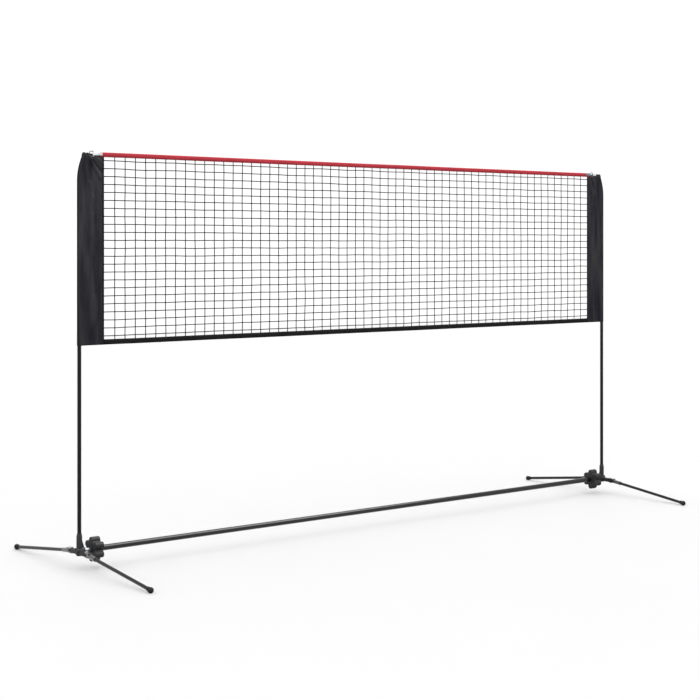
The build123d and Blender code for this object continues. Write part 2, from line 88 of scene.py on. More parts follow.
# ------------------------------------------------------------------ mesh helpers
class Mesh:
    """Collects vertices and faces, then makes one object of them."""

    def __init__(self):
        self.points = []
        self.faces = []
        self.slots = []

    def add(self, points, faces, slots=None):
        first = len(self.points)
        self.points += [tuple(p) for p in points]
        self.faces += [tuple(first + i for i in f) for f in faces]
        self.slots += slots or [0] * len(faces)

    def tube(self, path, radius, sides):
        """A round tube with closed ends along a path of points."""
        path = [Vector(p) for p in path]
        rings = []
        start = (path[1] - path[0]).normalized()
        side = start.orthogonal().normalized()
        for i, point in enumerate(path):
            ahead = path[min(i + 1, len(path) - 1)] - path[max(i - 1, 0)]
            ahead.normalize()
            side = (side - ahead * side.dot(ahead)).normalized()
            up = ahead.cross(side)
            for k in range(sides):
                angle = 2 * math.pi * k / sides
                rings.append(point + (side * math.cos(angle) + up * math.sin(angle)) * radius)
        faces = []
        for i in range(len(path) - 1):
            for k in range(sides):
                a, b = i * sides + k, i * sides + (k + 1) % sides
                faces.append((a, b, b + sides, a + sides))
        faces.append(tuple(reversed(range(sides))))
        faces.append(tuple(range((len(path) - 1) * sides, len(path) * sides)))
        self.add(rings, faces)

    def blob(self, centre, size, around=6, levels=3):
        """A small rounded lump with half-sizes along X, Y and Z."""
        points = [centre + Vector((0, 0, -size[2]))]
        for j in range(1, levels):
            lat = math.pi * (j / levels - 0.5)
            for k in range(around):
                lon = 2 * math.pi * k / around
                x = size[0] * math.cos(lat) * math.cos(lon)
                y = size[1] * math.cos(lat) * math.sin(lon)
                points.append(centre + Vector((x, y, size[2] * math.sin(lat))))
        points.append(centre + Vector((0, 0, size[2])))
        last = len(points) - 1
        faces = []
        for k in range(around):
            after = (k + 1) % around
            faces.append((0, 1 + after, 1 + k))
            for j in range(levels - 2):
                a, b = 1 + j * around + k, 1 + j * around + after
                faces.append((a, b, b + around, a + around))
            top = 1 + (levels - 2) * around
            faces.append((last, top + k, top + after))
        self.add(points, faces)

    def stitch(self, start, end, outward, radius):
        """One stitch: a thread that rises from the cloth and goes back in."""
        path = [start - outward * radius]
        for share in (0.2, 0.5, 0.8):
            path.append(start.lerp(end, share) + outward * radius * 0.6)
        path.append(end - outward * radius)
        self.tube(path, radius, 5)

    def make(self, name, materials, smooth=True):
        data = bpy.data.meshes.new(name)
        data.from_pydata(self.points, [], self.faces)
        for material in materials:
            data.materials.append(material)
        data.polygons.foreach_set("material_index", self.slots)
        data.polygons.foreach_set("use_smooth", [smooth] * len(self.faces))
        data.update()
        obj = bpy.data.objects.new(name, data)
        bpy.context.scene.collection.objects.link(obj)
        return obj


def apply_modifiers(obj):
    """Replaces an object's mesh with what its modifiers make of it."""
    bpy.context.view_layer.update()
    graph = bpy.context.evaluated_depsgraph_get()
    made = bpy.data.meshes.new_from_object(obj.evaluated_get(graph), depsgraph=graph)
    obj.modifiers.clear()
    obj.data = made


def smoothstep(low, high, value):
    """0 below low, 1 above high, and a smooth rise between."""
    share = min(max((value - low) / (high - low), 0.0), 1.0)
    return share * share * (3 - 2 * share)


def plateau(rise_from, rise_to, fall_from, fall_to, value):
    """A smooth rise from 0 to 1, and further on a smooth fall back to 0."""
    return smoothstep(rise_from, rise_to, value) * (1 - smoothstep(fall_from, fall_to, value))


# ------------------------------------------------------------------ materials
MIX_FIRST, MIX_SECOND, MIX_COLOR = 6, 7, 2   # the Mix node's colour sockets


class Finish:
    """A material under construction, with short calls for the nodes that it needs."""

    def __init__(self, name, rough, metallic=0.0, specular=0.5):
        self.material = bpy.data.materials.new(name)
        self.material.use_nodes = True
        self.tree = self.material.node_tree
        self.shader = self.tree.nodes["Principled BSDF"]
        self.set("Roughness", rough)
        self.set("Metallic", metallic)
        self.set("Specular IOR Level", specular)
        coordinates = self.tree.nodes.new("ShaderNodeTexCoord")
        self.where = coordinates.outputs["Object"]

    def link(self, source, target):
        self.tree.links.new(source, target)

    def set(self, socket, value):
        self.shader.inputs[socket].default_value = value

    def scaled(self, scale):
        """The object's coordinates, stretched along each axis."""
        mapping = self.tree.nodes.new("ShaderNodeMapping")
        mapping.inputs["Scale"].default_value = scale
        self.link(self.where, mapping.inputs["Vector"])
        return mapping.outputs["Vector"]

    def noise(self, scale, detail, stretch=None):
        node = self.tree.nodes.new("ShaderNodeTexNoise")
        node.inputs["Scale"].default_value = scale
        node.inputs["Detail"].default_value = detail
        self.link(self.scaled(stretch) if stretch else self.where, node.inputs["Vector"])
        return node.outputs["Fac"]

    def wave(self, scale, direction, distortion):
        node = self.tree.nodes.new("ShaderNodeTexWave")
        node.bands_direction = direction
        node.inputs["Scale"].default_value = scale
        node.inputs["Distortion"].default_value = distortion
        self.link(self.where, node.inputs["Vector"])
        return node.outputs["Fac"]

    def ramp(self, value, stops):
        """A colour that follows value through the stops."""
        node = self.tree.nodes.new("ShaderNodeValToRGB")
        ramp = node.color_ramp
        while len(ramp.elements) < len(stops):
            ramp.elements.new(0.5)
        for element, (place, color) in zip(ramp.elements, stops):
            element.position = place
            element.color = (*color, 1.0)
        self.link(value, node.inputs["Fac"])
        return node.outputs["Color"]

    def span(self, value, low, high, from_low=0.3, from_high=0.7):
        """The value, taken from one range to another."""
        node = self.tree.nodes.new("ShaderNodeMapRange")
        node.inputs["From Min"].default_value = from_low
        node.inputs["From Max"].default_value = from_high
        node.inputs["To Min"].default_value = low
        node.inputs["To Max"].default_value = high
        self.link(value, node.inputs["Value"])
        return node.outputs["Result"]

    def toward(self, share, source, color):
        """The source's colour, going over to one plain colour as share rises to 1."""
        node = self.tree.nodes.new("ShaderNodeMix")
        node.data_type = "RGBA"
        self.link(share, node.inputs["Factor"])
        self.link(source, node.inputs[MIX_FIRST])
        node.inputs[MIX_SECOND].default_value = (*color, 1.0)
        return node.outputs[MIX_COLOR]

    def product(self, first, second):
        node = self.tree.nodes.new("ShaderNodeMath")
        node.operation = "MULTIPLY"
        self.link(first, node.inputs[0])
        self.link(second, node.inputs[1])
        return node.outputs["Value"]

    def bump(self, height, strength, distance):
        node = self.tree.nodes.new("ShaderNodeBump")
        node.inputs["Strength"].default_value = strength
        node.inputs["Distance"].default_value = distance
        self.link(height, node.inputs["Height"])
        self.link(node.outputs["Normal"], self.shader.inputs["Normal"])

    def color(self, source):
        self.link(source, self.shader.inputs["Base Color"])

    def rough(self, source):
        self.link(source, self.shader.inputs["Roughness"])


def painted(name, dark, light, rough, coat=0.3, orange_peel=0.15, specular=0.5):
    """Powder coat or paint on steel: faint mottling, orange peel and rubbed patches."""
    finish = Finish(name, rough, specular=specular)
    mottle = finish.noise(55.0, 4.0)
    finish.color(finish.ramp(mottle, ((0.35, dark), (0.7, light))))
    rub = finish.noise(18.0, 6.0)
    finish.rough(finish.span(rub, rough * 0.8, rough * 1.35))
    finish.bump(finish.noise(900.0, 2.0), orange_peel, 0.2 * MM)
    finish.set("Coat Weight", coat)
    finish.set("Coat Roughness", 0.12)
    return finish.material


def metal(name, color, rough, brushed=True):
    """Bare metal, with fine drawing lines if it is brushed."""
    finish = Finish(name, rough, metallic=1.0)
    lines = finish.noise(140.0, 3.0, stretch=(0.4, 12.0, 12.0) if brushed else None)
    darker = tuple(c * 0.8 for c in color)
    finish.color(finish.ramp(lines, ((0.3, darker), (0.7, color))))
    finish.rough(finish.span(lines, rough * 0.75, rough * 1.4))
    finish.bump(lines, 0.12, 0.1 * MM)
    return finish.material


def plastic(name, color, rough, grain=1400.0, strength=0.3):
    """Moulded plastic or rubber with a fine spark-eroded grain."""
    finish = Finish(name, rough, specular=0.2)
    mottle = finish.noise(38.0, 5.0)
    lighter = tuple(c * 1.35 + 0.004 for c in color)
    finish.color(finish.ramp(mottle, ((0.3, color), (0.75, lighter))))
    finish.rough(finish.span(mottle, rough * 0.85, min(rough * 1.2, 1.0)))
    finish.bump(finish.noise(grain, 2.0), strength, 0.15 * MM)
    return finish.material


def woven(name, dark, light, thread, rough, sheen=0.0, strength=0.5, shade_streaked=False):
    """Plain weave: crossed waves at the thread's pitch with painted shade that follows them, and faded
    patches or upright streaks of painted shade.
    """
    finish = Finish(name, rough, specular=0.1)
    scale = math.pi / (thread * 10)
    weave = finish.product(finish.wave(scale, "X", 0.6), finish.wave(scale, "Z", 0.6))
    if shade_streaked:
        # Upright streaks of painted shade: darker and lighter bands up the cloth.
        fade_and_painted_shade = finish.noise(32.0, 5.0, stretch=(1.0, 1.0, 0.12))
        base = finish.ramp(fade_and_painted_shade, ((0.38, dark), (0.62, light)))
    else:
        fade_and_painted_shade = finish.noise(7.0, 5.0)
        base = finish.ramp(fade_and_painted_shade, ((0.3, dark), (0.75, light)))
    # Painted shade in the weave: a darker copy of the cloth's colour, mixed in as the crossed waves
    # rise.
    painted_weave_shade = tuple(c * 0.45 for c in dark)
    finish.color(finish.toward(finish.span(weave, 0.0, 0.35, 0.0, 1.0), base, painted_weave_shade))
    finish.rough(finish.span(fade_and_painted_shade, rough * 0.92, min(rough * 1.1, 1.0)))
    finish.bump(weave, strength, thread * 0.4)
    finish.set("Sheen Weight", sheen)
    finish.set("Sheen Roughness", 0.5)
    return finish.material


def twisted(name, dark, light, pitch):
    """Twisted or braided cord: slanted strands round the cord, darker in the grooves between them as
    painted shade.
    """
    finish = Finish(name, 0.7, specular=0.15)
    strands_and_groove_shade = finish.wave(math.pi / (pitch * 10), "DIAGONAL", 0.3)
    finish.color(finish.ramp(strands_and_groove_shade, ((0.2, dark), (0.8, light))))
    finish.bump(strands_and_groove_shade, 0.6, 0.25 * MM)
    return finish.material


def webbing_weave(shade, dark, light):
    """Strap webbing: a coarser weave with a little sheen."""
    return woven("strap_webbing_" + shade, dark, light, 0.8 * MM, 0.75, sheen=0.2, strength=0.7)


POST = painted(
    "post_paint", (0.002, 0.002, 0.0025), (0.004, 0.004, 0.0045), 0.35, coat=0.0, specular=0.15
)
FOOT = painted(
    "foot_paint", (0.002, 0.002, 0.0024), (0.004, 0.004, 0.0045), 0.22, coat=0.0, specular=0.3
)
HINGE = painted(
    "hinge_coat", (0.008, 0.008, 0.009), (0.014, 0.014, 0.015), 0.22, coat=1.0, orange_peel=0.2
)
BAR = painted(
    "bar_paint", (0.001, 0.001, 0.0012), (0.002, 0.002, 0.0022), 0.16,
    coat=0.0, orange_peel=0.06, specular=0.4,
)
BRACKET = painted(
    "bracket_coat", (0.010, 0.010, 0.011), (0.018, 0.018, 0.020), 0.45,
    coat=0.0, orange_peel=0.4, specular=0.2,
)
RING = painted("ring_black", (0.010, 0.010, 0.011), (0.018, 0.018, 0.019), 0.35)
BRIGHT = metal("bright_steel", (0.42, 0.43, 0.45), 0.3)
ZINC = metal("zinc_plate", (0.42, 0.43, 0.46), 0.35, brushed=False)
KNOB = plastic("knob_plastic", (0.008, 0.008, 0.009), 0.5)
NYLON = plastic("nylon", (0.010, 0.010, 0.011), 0.55)
CAP = plastic("cap_plastic", (0.003, 0.003, 0.004), 0.45)
RUBBER = plastic("ball_rubber", (0.004, 0.004, 0.005), 0.75, grain=700.0, strength=0.5)
# The sleeve cloth's upright streaks are painted shade.
FABRIC = woven(
    "sleeve_fabric", (0.003, 0.0027, 0.0055), (0.0145, 0.0145, 0.0165), 0.5 * MM, 0.6, shade_streaked=True
)
# The darker cloth of the inner edge strip, which also paints shade along the pocket's outer edge.
SEAM_AND_EDGE_SHADE = woven("sleeve_binding_and_edge_shade", (0.002, 0.002, 0.003), (0.004, 0.004, 0.005), 0.7 * MM, 0.8)
RED = woven("red_tape_weave", (0.18, 0.011, 0.017), (0.23, 0.017, 0.025), 0.6 * MM, 0.65)
BLACK = woven("black_tape_weave", (0.001, 0.001, 0.0012), (0.002, 0.002, 0.0022), 0.6 * MM, 0.8)
WEBBING = {
    "left": webbing_weave("pale", (0.33, 0.36, 0.36), (0.42, 0.45, 0.45)),
    "right": webbing_weave("slate", (0.060, 0.075, 0.095), (0.095, 0.115, 0.14)),
}
CORD = twisted("net_cord", (0.003, 0.003, 0.004), (0.008, 0.008, 0.010), 1.6 * MM)
LOOP = twisted("loop_cord", (0.004, 0.004, 0.005), (0.012, 0.012, 0.014), 1.2 * MM)
ROPE = twisted("edge_rope", (0.010, 0.010, 0.011), (0.025, 0.025, 0.027), 2.5 * MM)
RED_THREAD = twisted("red_thread", (0.20, 0.014, 0.022), (0.28, 0.026, 0.038), 0.8 * MM)
BLACK_THREAD = twisted("black_thread", (0.008, 0.008, 0.010), (0.018, 0.018, 0.021), 0.8 * MM)

# The finish of each CAD node, by the ending of its name.
NODE_FINISHES = {
    "end_bracket": BRACKET,
    "foot_hinge": HINGE,
    "spigot_tube": BRIGHT,
    "bar_joiners": BRIGHT,
    "bar_collet": NYLON,
    "post_bushes": NYLON,
    "post_guides": NYLON,
    "star_knob": KNOB,
    "knob_insert": NYLON,
    "lower_post": POST,
    "upper_post": POST,
    "foot_tube": FOOT,
    "foot_ball": RUBBER,
    "bar_section": BAR,
    "_button": ZINC,
    "foot_pivot_pins": ZINC,
    "knob_washers": NYLON,
    "post_cap": CAP,
    "corner_ring": RING,
}


def finish_cad_nodes():
    """Gives each CAD node that stays in view its finish."""
    for name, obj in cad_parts.items():
        for ending, material in NODE_FINISHES.items():
            if name.endswith(ending):
                obj.data.materials.clear()
                obj.data.materials.append(material)


def hang(piece, *nodes, slot):
    """Makes a piece ride with the net, and hides the CAD nodes that are named."""
    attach(piece, "net")
    if nodes:
        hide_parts(*nodes)


# ------------------------------------------------------------------ the mesh of the net
COLUMNS = 58
ROWS = 23
CORD_R = 1.9 * MM
KNOT = (3.8 * MM, 2.7 * MM, 3.4 * MM)        # half-sizes
CORD_SWAY = 0.9 * MM         # how far a knot wanders in the net's plane
CORD_JITTER = 0.45           # share of the sway that is each knot's own
CORD_BOW = 0.4 * MM          # how far a knot wanders out of the plane
CORD_TUCK = 4 * MM           # how far a cord's end goes into a tape
SLEEVE_TUCK = 1.5 * MM       # and into a sleeve's edge


def spread(low, high, count):
    """Evenly spaced values from low to high."""
    return [low + (high - low) * k / (count - 1) for k in range(count)]


def sway(a, b, seed):
    """A small, smooth, repeatable wander."""
    return noise.noise(Vector((a * 9.0, b * 9.0, seed))) * 2


def net_mesh():
    """Knotted netting: upright and level cords that meet in knots and are never quite straight."""
    inset = CORD_R * 0.9     # keeps the outer cords where the CAD has them
    xs = spread(CORDS_LOW.x + inset, CORDS_HIGH.x - inset, COLUMNS)
    zs = spread(ROWS_HIGH.z - inset, ROWS_LOW.z + inset, ROWS)
    jitter = random.Random(11)
    knots = {}
    for i, x in enumerate(xs):
        for j, z in enumerate(zs):
            dx = CORD_SWAY * (sway(x, z, 0.3) + jitter.uniform(-CORD_JITTER, CORD_JITTER))
            dz = CORD_SWAY * (sway(x, z, 5.1) + jitter.uniform(-CORD_JITTER, CORD_JITTER))
            knots[i, j] = Vector((x + dx, CORD_BOW * sway(x, z, 9.7), z + dz))
    net = Mesh()
    for i, x in enumerate(xs):
        top = Vector((x, 0, TAPE_LOW.z + CORD_TUCK))
        bottom = Vector((x, 0, HEM_HIGH.z - CORD_TUCK))
        net.tube([top] + [knots[i, j] for j in range(ROWS)] + [bottom], CORD_R, 6)
    for j in range(ROWS):
        start = Vector((HEM_LOW.x - SLEEVE_TUCK, 0, zs[j]))
        end = Vector((HEM_HIGH.x + SLEEVE_TUCK, 0, zs[j]))
        net.tube([start] + [knots[i, j] for i in range(COLUMNS)] + [end], CORD_R, 6)
    for centre in knots.values():
        net.blob(centre, KNOT)
    piece = net.make("net_mesh", [CORD])
    hang(piece, "net_upright_cords", "net_level_cords", slot="net_cord")


# ------------------------------------------------------------------ tapes along the net's edges
TAPE_STEP = 12 * MM          # between the sections that shape a tape
TAPE_PLY = 0.9 * MM
TAPE_ROWS = (3.2 * MM, 2.6 * MM)             # stitch rows: from the open edge, and past the fold's round
TAPE_PITCH = 5 * MM
TAPE_STITCH = 3.6 * MM
TAPE_THREAD = 0.3 * MM       # the thread's radius
TAPE_SIDE = 0.9 * MM         # how far the open edge wanders sideways
TAPE_RISE = 0.5 * MM         # how far the whole tape wanders up or down
TAPE_HELD = (0.03, 0.12)     # distances from a sleeve between which the tape comes free


def fold_section(depth, half, ply, turns=5):
    """Outline of a strip folded over an edge: (across, distance from the fold)."""
    outside, inside = [], []
    for k in range(turns + 1):
        angle = math.pi * (1 - k / turns)
        outside.append((half * math.cos(angle), half * (1 - math.sin(angle))))
        inside.append(((half - ply) * math.cos(angle), half - (half - ply) * math.sin(angle)))
    front, back = outside[0][0], outside[-1][0]
    outline = [(front, depth), (front, depth * 0.5)] + outside + [(back, depth * 0.5), (back, depth)]
    inner = [(back - ply, depth), (back - ply, depth * 0.5)] + inside[::-1]
    return outline + inner + [(front + ply, depth * 0.5), (front + ply, depth)]


def tape_drift(x, share, seed):
    """How far a tape wanders sideways, at a share of its depth, and up or down. Its ends are held."""
    free = smoothstep(*TAPE_HELD, HEM_HIGH.x - abs(x))
    side = TAPE_SIDE * share * free * noise.noise(Vector((x * 5.0, seed, 0.0)))
    rise = TAPE_RISE * free * noise.noise(Vector((x * 3.0, seed, 4.0)))
    return side, rise


def folded_tape(name, node, fold_at_top, material, thread, slot, seed):
    """Tape folded over one edge of the net and sewn through near its open side."""
    low, high = corners(node)
    depth, half = high.z - low.z, (high.y - low.y) / 2
    fold_z, way = (high.z, -1) if fold_at_top else (low.z, 1)
    section = fold_section(depth, half, TAPE_PLY)
    xs = spread(low.x, high.x, round((high.x - low.x) / TAPE_STEP))
    points, faces, count = [], [], len(section)
    for i, x in enumerate(xs):
        for y, deep in section:
            side, rise = tape_drift(x, deep / depth, seed)
            points.append((x, y + side, fold_z + way * deep + rise))
        if i:
            first = (i - 1) * count
            for k in range(count):
                a, b = first + k, first + (k + 1) % count
                faces.append((a, b, b + count, a + count))
    faces.append(tuple(range(count))[::-1])
    faces.append(tuple(range(len(xs) * count - count, len(xs) * count)))
    if fold_at_top:
        faces = [f[::-1] for f in faces]
    cloth = Mesh()
    cloth.add(points, faces)
    tape = cloth.make(name, [material])
    hang(tape, node, slot=slot)

    sewing = Mesh()
    for deep in (depth - TAPE_ROWS[0], half + TAPE_ROWS[1]):
        x = low.x + TAPE_PITCH / 2
        while x < high.x - TAPE_PITCH:
            side, rise = tape_drift(x, deep / depth, seed)
            z = fold_z + way * deep + rise
            for face in (-1, 1):
                outward = Vector((0, face, 0))
                y = face * half + side
                sewing.stitch(Vector((x, y, z)), Vector((x + TAPE_STITCH, y, z)), outward, TAPE_THREAD)
            x += TAPE_PITCH
    stitches = sewing.make(name + "_stitches", [thread])
    hang(stitches, slot=slot)


def edge_ropes():
    """The ropes inside the two tapes."""
    low, high = corners("edge_ropes")
    radius = (high.y - low.y) / 2
    ropes = Mesh()
    for z in (low.z + radius, high.z - radius):
        ropes.tube([(x, 0, z) for x in spread(low.x, high.x, 40)], radius, 12)
    hang(ropes.make("tape_ropes", [ROPE]), "edge_ropes", slot="rope")


# ------------------------------------------------------------------ sleeves
POCKET_R = 8.8 * MM          # cloth's outside, round the post
POCKET_TURN = math.radians(68)               # where the cloth leaves the post, from straight inboard
POCKET_SEAM = 30 * MM        # inboard of the post's middle
POCKET_SPANS = 7             # divisions of the cloth from the post to the seam
POCKET_CLOSE = 1.25          # how fast the pocket closes towards its seam
POCKET_RIPPLE = 2.2          # ripples on the pocket, in times those on the band
RIPPLE = 0.5 * MM            # uneven thickness of the cloth
SEAM_FOLLOW = 0.85           # share of the post's bend that the seam follows
SEAM_EASE = 12 * MM          # the band's own shape comes in over this distance from the seam
INNER_EASE = 20 * MM         # folds and creases die out over this distance from the inner edge
BAND_WANDER = 0.9 * MM       # how far the band's middle strays sideways
BAND_SPANS = 22              # divisions of the flat band
SLEEVE_LEVELS = 180          # rows of points up the sleeve
BINDING = 8 * MM             # darker strip along the sleeve's inner edge
BINDING_PROUD = 0.45 * MM
EDGE_SHADE_FACES = 4                 # faces of the pocket's arc, each way from the outer edge, in the inner strip's dark cloth as painted shade
HEM = 12 * MM
HEM_PROUD = 0.35 * MM
CLOTH = 0.7 * MM
LAYER = 1.25 * MM            # half the thickness of the two layers of the flat band
TOP_FOLDS = 1.3 * MM         # upright folds that run out below the top edge
TOP_FOLDS_REACH = 0.09
TOP_RISE = 6 * MM            # the top edge's rise, on both sides of the ring
TOP_BLEND = 30 * MM          # how far down the rise is spread
REAR_RISE = 11 * MM          # the rear layer's rise behind the ring
RING_FLARE = 5.5 * MM        # how far the rear layer stands off there
CAP_CLEAR = 28 * MM          # inset where the rise beside the cap begins
TUCK_HALF = 1.4 * MM         # half thickness inside the tape's fold
TUCK_FROM = POCKET_SEAM + 20 * MM            # inset where the part that is tucked in begins
TUCK_BELOW = (10 * MM, 1 * MM)               # it narrows between these distances below the tape
RING_CLEAR = 12 * MM         # half the gap in the rise that is kept for the ring
RING_INSET = {side: POST_X - abs(middle(side + "_corner_ring").x) for side in SIDES}

# The bend at the top of each upper post, as in the CAD.
BEND_Z = 1.445
BEND_R = 0.220
BEND_ANGLE = math.radians(20)

SLEEVE_PITCH = 4.2 * MM
SLEEVE_STITCH = 3.0 * MM
SLEEVE_THREAD = 0.28 * MM    # the thread's radius
BINDING_ROWS = (BINDING - 1.6 * MM, 1.8 * MM)        # stitch rows, from the inner edge
SEAM_ROW = 0.4 * MM          # and past the pocket's seam
HEM_ROW = 2 * MM             # and inside each hem's inner edge

CREASE_GAIN = 2.4            # multiplies the height of every crease

# Each crease's start and end as (inset, height up the net) in metres, then its own height and
# half-width in millimetres. A negative height is a valley.
CREASES = {
    "left": (
        ((0.056, 1.522), (0.101, 1.476), 3.0, 5.0),
        ((0.047, 1.528), (0.090, 1.455), -2.6, 6.0),
        ((0.040, 1.522), (0.060, 1.395), 1.9, 6.0),
        ((0.078, 1.532), (0.102, 1.506), -1.8, 5.0),
        ((0.088, 1.450), (0.060, 1.330), 1.2, 8.0),
        ((0.046, 1.440), (0.072, 1.300), -1.3, 8.0),
        ((0.100, 1.420), (0.074, 1.240), 0.9, 9.0),
        ((0.042, 1.230), (0.066, 1.060), 0.8, 9.0),
        ((0.095, 1.150), (0.080, 0.960), -0.8, 10.0),
        ((0.044, 0.850), (0.082, 0.930), 1.0, 9.0),
        ((0.098, 0.845), (0.062, 1.010), -0.9, 10.0),
    ),
    "right": (
        ((0.074, 1.528), (0.050, 1.470), 2.2, 5.5),
        ((0.092, 1.524), (0.070, 1.440), -2.2, 6.0),
        ((0.058, 1.520), (0.040, 1.420), -1.6, 5.5),
        ((0.100, 1.500), (0.080, 1.380), 1.5, 7.0),
        ((0.050, 1.430), (0.080, 1.330), 1.1, 8.0),
        ((0.068, 1.400), (0.092, 1.290), -1.3, 8.0),
        ((0.046, 1.310), (0.060, 1.150), 0.9, 9.0),
        ((0.096, 1.210), (0.072, 1.050), 0.9, 10.0),
        ((0.056, 1.050), (0.090, 0.930), -0.9, 10.0),
        ((0.046, 0.850), (0.070, 0.960), 0.9, 9.0),
        ((0.100, 0.850), (0.084, 0.940), 0.8, 9.0),
    ),
}


def ring_gap(side):
    """The insets that the top edge keeps clear for the corner ring."""
    return RING_INSET[side] - RING_CLEAR, RING_INSET[side] + RING_CLEAR


def sleeve_top(side, inset, face):
    """Height of the sleeve's top edge: up beside the cap and the tape, and behind the ring."""
    near, far = ring_gap(side)
    beside_cap = plateau(CAP_CLEAR, CAP_CLEAR + 4 * MM, near - 4 * MM, near, inset)
    rise = TOP_RISE * max(beside_cap, smoothstep(far, far + 6 * MM, inset))
    if face > 0:
        rise = max(rise, REAR_RISE * plateau(near - 6 * MM, near, far - 4 * MM, far, inset))
    return SLEEVE_TOP + rise


def ring_flare(side, inset, z):
    """How far the rear layer stands off behind the ring."""
    near, far = ring_gap(side)
    width = plateau(near - 12 * MM, near - 2 * MM, far + 2 * MM, far + 12 * MM, inset)
    return RING_FLARE * width * smoothstep(SLEEVE_TOP - TOP_BLEND, SLEEVE_TOP - 6 * MM, z)


def post_inset(z):
    """How far inboard the upper post's middle has bent at this height."""
    rise = z - BEND_Z
    if rise <= 0:
        return 0.0
    arc = BEND_R * math.sin(BEND_ANGLE)
    if rise < arc:
        return BEND_R - math.sqrt(BEND_R**2 - rise**2)
    return BEND_R * (1 - math.cos(BEND_ANGLE)) + (rise - arc) * math.tan(BEND_ANGLE)


def seam_inset(z):
    """Inset of the pocket's seam, which nearly follows the bent post."""
    return POCKET_SEAM + SEAM_FOLLOW * post_inset(z)


def crease(side, inset, z):
    """Sideways push of the creases at a place on the sleeve."""
    push = 0.0
    for (x0, z0), (x1, z1), high, width in CREASES[side]:
        run = Vector((x1 - x0, z1 - z0))
        place = Vector((inset - x0, z - z0))
        share = place.dot(run) / run.length_squared
        nearest = place - run * min(max(share, 0.0), 1.0)
        fade_and_painted_shade = plateau(-0.35, 0.15, 0.7, 1.4, share)
        push += CREASE_GAIN * high * MM * fade_and_painted_shade * math.exp(-((nearest.length / (width * MM)) ** 2))
    return push


def half_thickness(inset, z, face):
    """Half the sleeve's thickness at a place, without its creases."""
    post, seam = post_inset(z), seam_inset(z)
    beside = inset - post
    turn, full = POCKET_R * math.cos(POCKET_TURN), POCKET_R * math.sin(POCKET_TURN)
    if beside < turn:
        return math.sqrt(max(POCKET_R**2 - beside**2, 0.0))
    share = min((inset - post - turn) / (seam - post - turn), 1.0)
    half = LAYER * 0.9 + (full - LAYER * 0.9) * (1 - share) ** POCKET_CLOSE
    ripple = RIPPLE * (noise.noise(Vector((inset * 60, z * 9, face * 3.0))) + 0.4)
    if share < 1:
        half += POCKET_RIPPLE * ripple * math.sin(math.pi * share)
    else:
        strip = SLEEVE_INSET - BINDING
        half += ripple * plateau(seam, seam + SEAM_EASE, strip - BINDING, strip, inset)
    folds = TOP_FOLDS * smoothstep(SLEEVE_TOP - TOP_FOLDS_REACH, SLEEVE_TOP, z)
    folds *= 1 - smoothstep(SLEEVE_INSET - INNER_EASE, SLEEVE_INSET, inset)
    half += folds * (0.5 + 0.5 * math.sin(inset * 700 + face * 0.8 + z * 9))
    half = max(half, LAYER * 0.85)
    if inset > SLEEVE_INSET - BINDING:
        half += BINDING_PROUD
    if z < SLEEVE_BOTTOM + HEM or z > SLEEVE_TOP - HEM:
        half += HEM_PROUD
    return half


def band_push(side, inset, z):
    """Sideways place of the sleeve's middle: flat at the post and nearly so at the inner edge."""
    loose = smoothstep(post_inset(z) + POCKET_R, seam_inset(z) + SEAM_EASE, inset)
    freedom = 1 - 0.75 * smoothstep(SLEEVE_INSET - INNER_EASE, SLEEVE_INSET, inset)
    wander = BAND_WANDER * noise.noise(Vector((inset * 14, z * 5, 2.0 if side == "left" else 8.0)))
    return loose * freedom * (crease(side, inset, z) + wander)


def sleeve_point(side, inset, z, face):
    """A place on the sleeve's outside: face is -1 at the front, 1 at the rear and 0 between."""
    flare = ring_flare(side, inset, z) if face > 0 else 0.0
    z += (sleeve_top(side, inset, face) - SLEEVE_TOP) * smoothstep(SLEEVE_TOP - TOP_BLEND, SLEEVE_TOP, z)
    push = band_push(side, inset, z)
    half = half_thickness(inset, z, face)
    if inset > TUCK_FROM:
        tucked = smoothstep(TAPE_LOW.z - TUCK_BELOW[0], TAPE_LOW.z - TUCK_BELOW[1], z)
        push *= 1 - tucked
        half += (min(half, TUCK_HALF) - half) * tucked
    return across(side, inset, push + face * half + flare, z)


def sleeve_stations(z):
    """Insets from the sleeve's outer edge to its inner edge."""
    post, seam = post_inset(z), seam_inset(z)
    band_end = SLEEVE_INSET - BINDING
    arc = [post - POCKET_R * math.cos(math.radians(a)) for a in range(10, 111, 10)]
    start = post + POCKET_R * math.cos(POCKET_TURN)
    pocket = [start + (seam - start) * k / POCKET_SPANS for k in range(POCKET_SPANS + 1)]
    band = [seam + (band_end - seam) * k / BAND_SPANS for k in range(1, BAND_SPANS + 1)]
    strip = [band_end + 0.3 * MM, SLEEVE_INSET - BINDING / 2, SLEEVE_INSET - 0.6 * MM]
    return arc + pocket + band + strip


